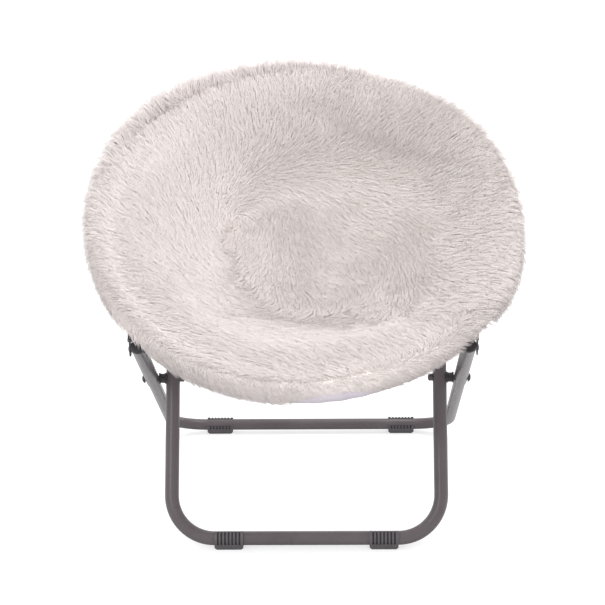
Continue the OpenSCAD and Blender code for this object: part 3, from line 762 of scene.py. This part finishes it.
def way_of_pile(points):
    """Way the pile lies inside the ring: down in the middle, outwards near the rim, in swirls."""
    x, v = points[:, 0], points[:, 1]
    r = np.hypot(x, v) + 1e-6
    turn = 0.40 * np.sin(9 * x + 1.2) + 0.35 * np.sin(8 * v + 5 * x) + 0.2 * np.sin(21 * x - 13 * v)
    outer = smooth(r, 0.10, 0.27)
    front = smooth(-v, 0.12, 0.26)
    across = np.sin(turn) * (1 - 0.8 * outer) + (x / r) * outer - 0.9 * front
    along = -np.cos(turn) * (1 - 0.8 * outer) + (v / r) * outer * (1 - front) + 0.5 * front
    along = along + 0.75 * smooth(-x, 0.04, 0.2) * (1 - front)
    swirl = 3.2 * outer * (1 - outer)
    across = across + swirl * v / r
    along = along - swirl * x / r
    return from_ring(np.stack([across, along, 0 * x], axis=1)) - RING_CENTRE


def make_bowl_pile(half, part, start, end, tree, seed):
    points = bowl_skin(half, start, end)
    surface = new_piece("surface", from_ring(points), grid_faces(*points.shape[:2]))
    facing(surface, OUT_OF_SEAT)
    flat = points.reshape(-1, 3)
    give(surface, "comb", way_of_pile(flat))
    give(surface, "long", 0.95 + 0.10 * np.sin(17 * flat[:, 0]) * np.sin(15 * flat[:, 1] + 1))
    give(surface, "stand", np.ones(len(flat)))
    return grown(half + "_fur_" + part, surface, tree, strands_per_square_metre=STRANDS,
                 seed=seed, finish=pile)


def make_rim_pile(half, part, keep, tree, seed):
    """Pile over the tube: combed outwards and down, along the rim in front, fuller at the back."""
    angles, q, points = rim_skin(half, step=1.5, lift=6.0)
    rows = np.nonzero(keep(angles))[0]
    angles, q, points = angles[rows], q[rows], points[rows]
    surface = new_piece("surface", from_ring(points), grid_faces(*points.shape[:2]))
    flat, turn = points.reshape(-1, 3), np.radians(q.ravel())
    facing(surface, OUT_OF_SEAT)
    r = np.hypot(flat[:, 0], flat[:, 1])
    radial = flat[:, :2] / r[:, None]
    over = np.concatenate([radial * np.sin(turn)[:, None], -np.cos(turn)[:, None]], axis=1)
    inside = smooth(RING_R - r, -0.004, 0.02)[:, None]
    along_rim = np.stack([-flat[:, 1] / r, flat[:, 0] / r, 0 * r], axis=1)
    front = smooth(-flat[:, 1], 0.12, 0.26)[:, None]
    over = over * (1 - 0.45 * front) + 0.9 * front * along_rim
    comb = (from_ring(over) - RING_CENTRE) * (1 - inside) + way_of_pile(flat) * inside
    comb[:, 2] -= 0.25 * (1 - inside[:, 0])
    give(surface, "comb", comb)
    left = smooth(-flat[:, 0], -0.1, 0.34) * smooth(flat[:, 1], -0.16, 0.05)
    top = smooth(flat[:, 1], 0.0, 0.34)
    every_angle = np.repeat(angles, points.shape[1])
    full = fullness(every_angle, half)
    pulled = front_pull(every_angle, half) * (1 - inside[:, 0])
    upper = smooth(np.degrees(turn), -30, 60)
    inner = smooth(0.372 - r, 0.0, 0.03)
    length = 0.80 + 0.30 * left + 0.30 * top * upper + 18 * np.minimum(full, 0)
    give(surface, "long", (length * (1 - inner) + 0.95 * inner) * (1 - 0.45 * pulled))
    stand = np.clip(0.55 + 0.45 * left + 0.8 * top * upper + 30 * full, 0.15, 1.6)
    give(surface, "stand", stand * (1 - inner) + inner)
    return grown(half + "_rim_fur_" + part, surface, tree, strands_per_square_metre=STRANDS,
                 seed=seed, finish=pile, **RIM_TUFTS[half])


STRANDS = 145000.0
RIM_TUFTS = {"rear": {"lock_size": 0.014, "lock_pull": 0.55, "stray": 0.42},
             "front": {"lock_pull": 0.26}}
strands_tree = pile_tree()
FUR_PARTS = {"rear": (("right", 0, 60), ("middle", 60, 120), ("left", 120, 180)),
             "front": (("left", 0, 60), ("middle", 60, 120), ("right", 120, 180))}
RIM_PARTS = {"rear": (("right", lambda a: a <= 90), ("left", lambda a: a >= 90)),
             "front": (("left", lambda a: a <= 90), ("right", lambda a: a >= 90))}
# Planes to which the fur and the lining would fold flat; they only mark the pieces that get a mesh
# of their own.
FLAT_SEAT = tuple(RING_CENTRE + 0.006 * OUT_OF_SEAT)
FLAT_LINING = tuple(RING_CENTRE - 0.014 * OUT_OF_SEAT)


def on_seat(piece, half, flattened_at=None):
    """Rides a piece on its half of the ring, and gives it a mesh of its own where a plane to fold
    it flat to is given.
    """
    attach(piece, half + "_ring")
    if flattened_at:
        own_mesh(piece)


for number, half in enumerate(HALVES):
    for place, (part, start, end) in enumerate(FUR_PARTS[half]):
        bowl_pile = make_bowl_pile(half, part, start, end, strands_tree, 10 * number + place)
        on_seat(bowl_pile, half, FLAT_SEAT)
    for place, (part, keep) in enumerate(RIM_PARTS[half]):
        rim_pile = make_rim_pile(half, part, keep, strands_tree, 10 * number + 7 + place)
        on_seat(rim_pile, half)
    rim_cover = make_cover(half + "_rim_cover", rim_skin(half)[2])
    on_seat(rim_cover, half)
    seat_cover = make_cover(half + "_seat_cover", bowl_skin(half, 0, 180))
    on_seat(seat_cover, half, FLAT_SEAT)
    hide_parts(half + "_fur_cover")


# ---------------------------------------------------------------- seat pad and lining
def full_pad():
    """Wadding between the fur's backing and the lining, thinner at its stitched edge."""
    a = np.radians(np.arange(0, 360, 3.0))[:, None]
    radii = np.linspace(0.0, PAD_R, 44)[1:]
    edge = np.clip((radii - 0.30) / 0.026, 0, 1) ** 2
    points, middles = [], []
    for under in (PAD_TOP, PAD_UNDER):
        r, w = bowl_point(radii, under + (PAD_EDGE - under) * edge * 0.75)
        side = np.stack([r * np.cos(a), r * np.sin(a), w + 0 * a], axis=-1)
        points += list(side.reshape(-1, 3))
        middles.append([0, 0, bowl_height(0.0) - under])
    points += middles
    turns, steps = side.shape[:2]
    faces, below = [], turns * steps
    top_middle, under_middle = 2 * below, 2 * below + 1
    for turn in range(turns):
        i, j = turn * steps, (turn + 1) % turns * steps
        for k in range(steps - 1):
            faces.append((i + k, i + k + 1, j + k + 1, j + k))
            faces.append((below + i + k, below + j + k, below + j + k + 1, below + i + k + 1))
        last = steps - 1
        faces.append((i + last, below + i + last, below + j + last, j + last))
        faces.append((i, j, top_middle))
        faces.append((below + i, under_middle, below + j))
    return outward(new_piece("seat_pad", from_ring(points), faces, lining))


def swelled(pad):
    """Lets cloth simulation swell a pad by air pressure, held where it is stitched."""
    remesh = pad.modifiers.new("even", "REMESH")
    remesh.mode = "VOXEL"
    remesh.voxel_size = PAD_VOXEL
    applied(pad)
    rest = np.array([v.co for v in pad.data.vertices])
    ring = in_ring(rest)
    r = np.hypot(ring[:, 0], ring[:, 1])
    angle = np.arctan2(ring[:, 1], ring[:, 0])
    held = pad.vertex_groups.new(name="stitched")
    seams = np.abs(((np.degrees(angle) + 15) % 30) - 15) < 1.0
    for i in np.nonzero((r > 0.318) | (seams & (r > 0.19)) | (r < 0.012))[0]:
        held.add([int(i)], 1.0, "REPLACE")
    cloth = pad.modifiers.new("cloth", "CLOTH")
    cloth.settings.use_pressure = True
    cloth.settings.uniform_pressure_force = SWELL_PRESSURE
    cloth.settings.effector_weights.gravity = 0.0
    cloth.settings.vertex_group_mass = "stitched"
    cloth.settings.quality = 4
    cloth.settings.tension_stiffness = 12
    cloth.settings.compression_stiffness = 12
    cloth.settings.bending_stiffness = 0.6
    cloth.collision_settings.use_collision = False
    scene = bpy.context.scene
    cloth.point_cache.frame_start = 1
    cloth.point_cache.frame_end = SWELL_FRAMES
    for step in range(1, SWELL_FRAMES + 1):
        scene.frame_set(step)
    ready = pad.evaluated_get(bpy.context.evaluated_depsgraph_get())
    moved = np.array([v.co for v in ready.data.vertices])
    pad.modifiers.clear()
    pad.vertex_groups.clear()
    scene.frame_set(1)
    shift = moved - rest
    size = np.linalg.norm(shift, axis=1, keepdims=True)
    shift *= np.minimum(1, MOST_SWELL / np.maximum(size, 1e-9))
    pad.data.vertices.foreach_set("co", (rest + shift).ravel())
    pad.data.update()
    return pad


def creased(pad):
    """Radial gathers near the rim, where the lining is drawn in by the stitching."""
    level = pad.modifiers.new("smooth", "SUBSURF")
    level.levels = level.render_levels = 1
    applied(pad)
    points = np.array([v.co for v in pad.data.vertices])
    ring = in_ring(points)
    r = np.hypot(ring[:, 0], ring[:, 1])
    angle = np.arctan2(ring[:, 1], ring[:, 0])
    near_rim = np.clip((r - 0.16) / 0.15, 0, 1) ** 1.5
    folds = np.sin(46 * angle + 2.5 * np.sin(3 * angle) + 9 * r) * np.sin(17 * angle + 1.0)
    low = soft_lumps(ring, 26, 0.0012)
    points = points + OUT_OF_SEAT * ((0.0022 * folds * near_rim) + low)[:, None]
    pad.data.vertices.foreach_set("co", points.ravel())
    pad.data.update()
    return pad


def cut_in_half(pad):
    """Cuts the pad along the ring's hinge line, and closes each half."""
    halves = {}
    for half, side in HALVES.items():
        work = bmesh.new()
        work.from_mesh(pad.data)
        cut = bmesh.ops.bisect_plane(
            work, geom=work.verts[:] + work.edges[:] + work.faces[:], dist=1e-6,
            plane_co=tuple(RING_CENTRE), plane_no=tuple(-side * BACKWARD), clear_outer=True)
        edges = [e for e in cut["geom_cut"] if isinstance(e, bmesh.types.BMEdge)]
        bmesh.ops.holes_fill(work, edges=edges, sides=0)
        bmesh.ops.triangulate(work, faces=[f for f in work.faces if len(f.verts) > 4])
        mesh = bpy.data.meshes.new(half + "_seat_pad")
        work.to_mesh(mesh)
        work.free()
        mesh.materials.append(lining)
        mesh.shade_smooth()
        halves[half] = placed(half + "_seat_pad", mesh)
    removed(pad)
    return halves


def make_rim_lining(half):
    """Lining from under the tube to the pad, drawn back at the brackets and hinges."""
    angles = half_angles(0.75)
    bracket, hinge = openings(angles, half)
    reach = np.maximum(0.04, 1 - np.maximum(bracket, hinge))[:, None]
    share = np.linspace(0, 1, 12)[None, :]
    tube_r, tube_w = rim_section(-92.0, FUR_SKIN_R)
    edge_r, edge_w = bowl_point(np.array(0.311), 0.0215)
    bulge = np.sin(np.pi * share) * 0.004
    r = tube_r + (edge_r - tube_r) * share
    w = tube_w + (edge_w - tube_w) * share - bulge
    r = edge_r + (r - edge_r) * reach
    w = edge_w + (w - edge_w) * reach
    a = np.radians(angles)[:, None]
    w = w + 0.0011 * np.sin(70 * a + 2 * np.sin(5 * a)) * np.sin(np.pi * share) * reach
    points = ring_grid(half, angles, r, w)
    faces = grid_faces(*points.shape[:2])
    made = new_piece(half + "_rim_lining", from_ring(points), faces, lining)
    return thickened(facing(made, -OUT_OF_SEAT), LINING_WALL)


def make_rim_binding(half):
    """Lining wrapped round the outside of the tube, up to the fur's hem and under it."""
    angles = half_angles(0.75)
    bracket, hinge = openings(angles, half)
    hem = hem_at(angles, half)[:, None] + 9
    start, steps = -93.0, 14
    share = np.linspace(0, 1, steps)[None, :]
    hem = np.where((np.maximum(bracket, hinge) > 0)[:, None], start + 2 + 0 * hem, hem)
    q = start + (hem - start) * share
    pull = front_pull(angles, half)[:, None]
    a = np.radians(angles)[:, None]
    swell = pull * (0.0015 * np.sin(np.pi * share) + 0.0005 * np.sin(60 * a + 9 * share))
    r, w = rim_section(q, LINING_R, swell)
    points = ring_grid(half, angles, r, w)
    keep = np.maximum(bracket, hinge) < 0.5
    faces = [f for f in grid_faces(*points.shape[:2]) if all(keep[i // steps] for i in f)]
    made = new_piece(half + "_rim_binding", from_ring(points), faces, lining)
    return thickened(facing(made, -OUT_OF_SEAT), LINING_WALL)


pads = cut_in_half(creased(swelled(full_pad())))
for half, pad in pads.items():
    on_seat(pad, half, FLAT_LINING)
    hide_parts(half + "_seat_padding", half + "_seat_lining")
    rim_lining = make_rim_lining(half)
    rim_binding = make_rim_binding(half)
    on_seat(rim_lining, half, FLAT_LINING)
    on_seat(rim_binding, half)


# ---------------------------------------------------------------- floor, light and camera
FLOOR_HALF = 9
FLOOR_GREY = 0.55
FLOOR_GLOW = 0.62
SKY_LIGHT = 1.05
LAMPS = (("key_softbox", (0.9, 0.5, 3.2), (0, 0, 0.5), (1.8, 1.8), 36),
         ("side_strip", (-1.25, -2.15, 2.1), (-0.1, 0, 0.3), (0.05, 1.7), 16))


def emptied(owner):
    """The node tree of a material or world, with nothing in it."""
    owner.use_nodes = True
    owner.node_tree.nodes.clear()
    return owner.node_tree


def make_floor():
    """Grey floor that takes the shadow, and glows to white for the camera and less in paint."""
    h = FLOOR_HALF
    floor = new_piece("floor", [(-h, -h, 0), (h, -h, 0), (h, h, 0), (-h, h, 0)], [(0, 1, 2, 3)])
    material = bpy.data.materials.new("studio_floor")
    tree = emptied(material)
    rays = node(tree, "ShaderNodeLightPath").outputs
    in_paint = sum_of(tree, "MULTIPLY", rays["Is Glossy Ray"], 0.4)
    seen = sum_of(tree, "MAXIMUM", sum_of(tree, "MAXIMUM", rays["Is Camera Ray"], in_paint),
                  rays["Is Transmission Ray"])
    plain = node(tree, "ShaderNodeBsdfDiffuse", {"Color": (*[FLOOR_GREY] * 3, 1)}).outputs[0]
    glow = node(tree, "ShaderNodeEmission", {
        "Color": WHITE, "Strength": sum_of(tree, "MULTIPLY", seen, FLOOR_GLOW)}).outputs[0]
    both = node(tree, "ShaderNodeAddShader", {0: plain, 1: glow}).outputs[0]
    node(tree, "ShaderNodeOutputMaterial", {"Surface": both})
    floor.data.materials.append(material)


def make_sky():
    """White sky for the camera, and one that paint and metal see dimmer in front than behind."""
    world = bpy.data.worlds.new("studio")
    bpy.context.scene.world = world
    tree = emptied(world)
    rays = node(tree, "ShaderNodeLightPath").outputs
    seen, glossy = rays["Is Camera Ray"], rays["Is Glossy Ray"]
    backward = parts_of(tree, node(tree, "ShaderNodeTexCoord").outputs["Generated"])[1]
    in_metal = between(tree, backward, 0.15, 0.75, 0.40, 1.0)
    lighting = sum_of(tree, "SUBTRACT", SKY_LIGHT, seen)
    lighting = sum_of(tree, "MULTIPLY", lighting, sum_of(tree, "SUBTRACT", 1.0, glossy))
    lighting = sum_of(tree, "ADD", lighting, seen)
    strength = sum_of(tree, "ADD", lighting, sum_of(tree, "MULTIPLY", in_metal, glossy))
    sky = node(tree, "ShaderNodeBackground", {"Color": WHITE, "Strength": strength}).outputs[0]
    node(tree, "ShaderNodeOutputWorld", {"Surface": sky})


def make_lamps():
    """A large softbox overhead, and a narrow strip for the sheen on the tubes."""
    for name, place, aim, size, power in LAMPS:
        light = bpy.data.lights.new(name, "AREA")
        light.shape = "RECTANGLE"
        light.size, light.size_y = size
        light.energy = power
        lamp = placed(name, light)
        lamp.location = place
        lamp.rotation_mode = "QUATERNION"
        lamp.rotation_quaternion = (Vector(aim) - Vector(place)).to_track_quat("-Z", "Y")


# The camera as fitted to the photograph, whose pixels its focal length and shift are in.
CAMERA_AT = (0.0673, -3.3403, 1.5889)
CAMERA_TURN = (1.241, 19.14, -0.706)
FOCAL_PIXELS = 1983.4
SHIFT_PIXELS = -12.5
PHOTO_PIXELS = 605
SENSOR_WIDTH = 36


def make_camera():
    yaw, pitch, roll = (math.radians(d) for d in CAMERA_TURN)
    level = math.cos(pitch)
    ahead = Vector((-math.sin(yaw) * level, math.cos(yaw) * level, -math.sin(pitch)))
    right = Vector((math.cos(yaw), math.sin(yaw), 0))
    up = right.cross(ahead)
    right, up = (math.cos(roll) * right + math.sin(roll) * up,
                 -math.sin(roll) * right + math.cos(roll) * up)
    data = bpy.data.cameras.new("camera")
    data.sensor_width = SENSOR_WIDTH
    data.lens = FOCAL_PIXELS / PHOTO_PIXELS * SENSOR_WIDTH
    data.shift_y = SHIFT_PIXELS / PHOTO_PIXELS
    made = placed("camera", data)
    made.matrix_world = Matrix((right, up, -ahead)).transposed().to_4x4()
    made.location = CAMERA_AT
    bpy.context.scene.camera = made


make_floor()
make_sky()
make_lamps()
bpy.context.scene.view_settings.view_transform = "Standard"
make_camera()
